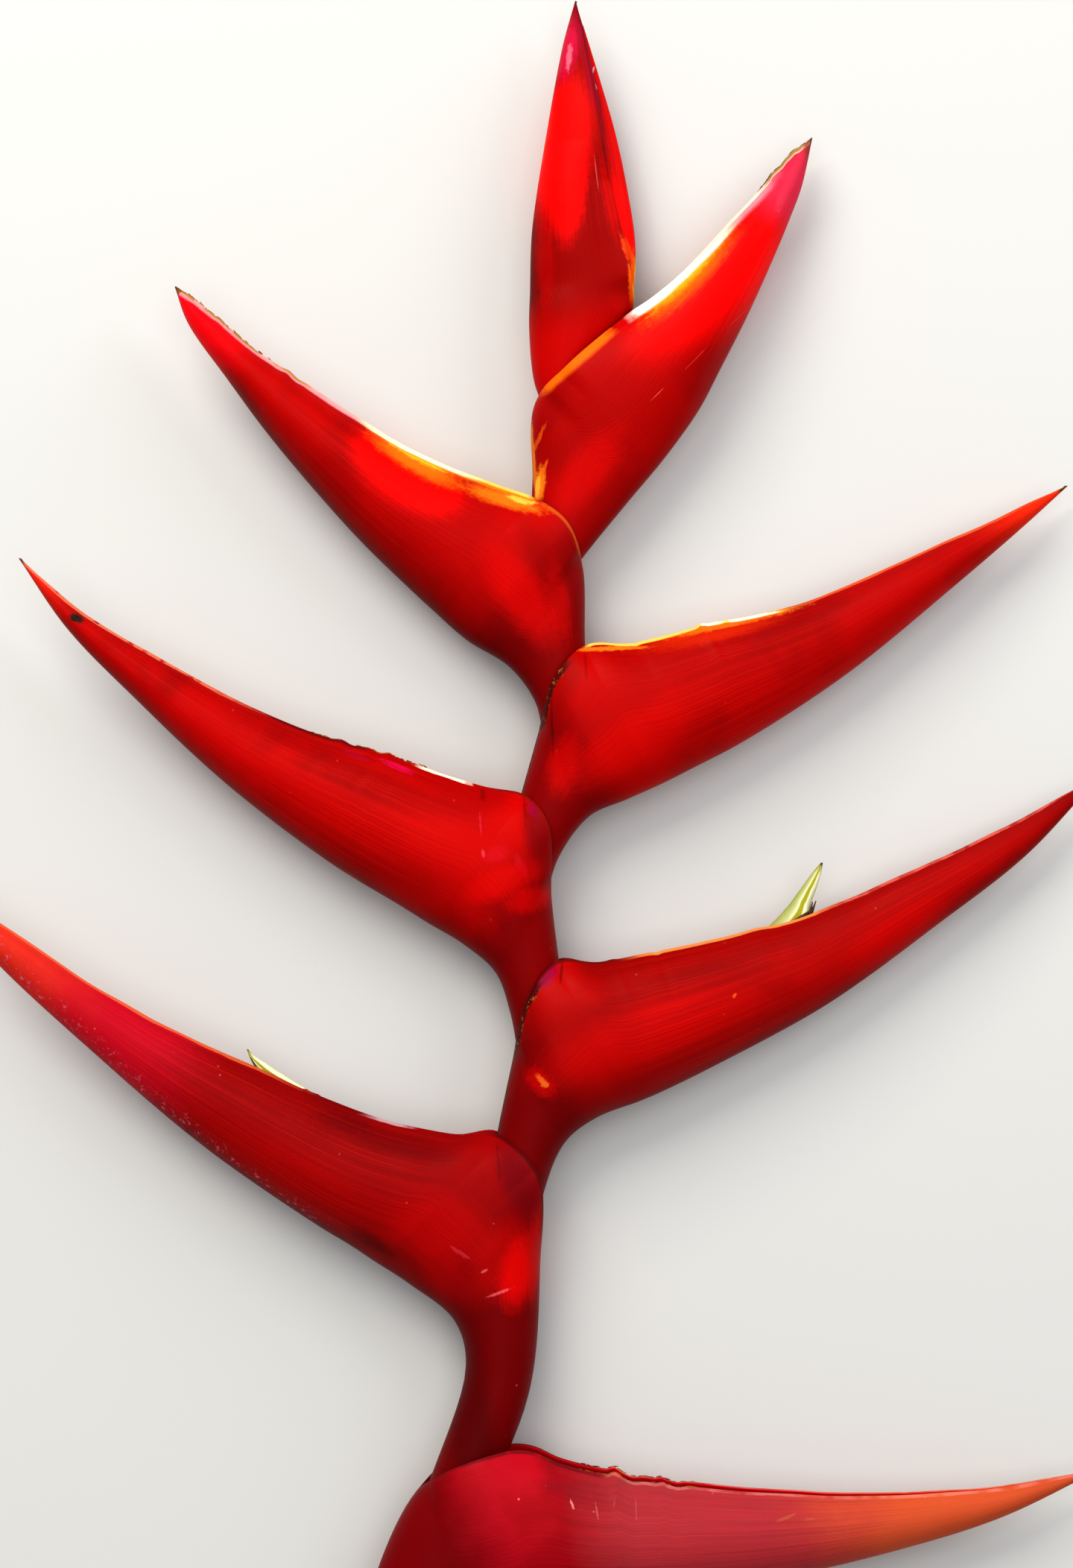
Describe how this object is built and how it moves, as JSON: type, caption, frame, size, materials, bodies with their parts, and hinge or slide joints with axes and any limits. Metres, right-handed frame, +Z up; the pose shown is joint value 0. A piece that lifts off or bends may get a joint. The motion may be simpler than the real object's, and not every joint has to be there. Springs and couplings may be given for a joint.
{
  "type": "cut heliconia flower",
  "caption": "Cut heliconia lying on its side: a zigzag stem in two rows of boat-shaped red bracts, a rolled bud at its top and pale florets between the bracts' lips.",
  "frame": {"origin": "middle of the bounding box, on the surface that the flower lies on", "axes": "+Y from the cut end to the top bract, +X across the two rows of bracts, to the right as seen from above, +Z up"},
  "size_m": [0.2528, 0.52, 0.0229],
  "materials": {
    "bract": "waxy deep red, with fine lengthwise veins",
    "young_bract": "waxy bright red, with orange and cream margins",
    "stem": "satin red, browner towards the cut end",
    "floret": "satin greenish cream with brown tips"
  },
  "bodies": {
    "root": {"stem": "stem", "bud_bract": "young_bract", "bract_1": "young_bract", "bract_2": "young_bract", "bract_3": "young_bract", "bract_4": "bract", "bract_5": "bract", "bract_6": "bract", "bract_7": "bract", "bract_8": "bract", "florets_2": "floret", "florets_3": "floret", "florets_4": "floret", "florets_5": "floret", "florets_6": "floret", "florets_7": "floret", "florets_8": "floret"}
  },
  "joints": []
}
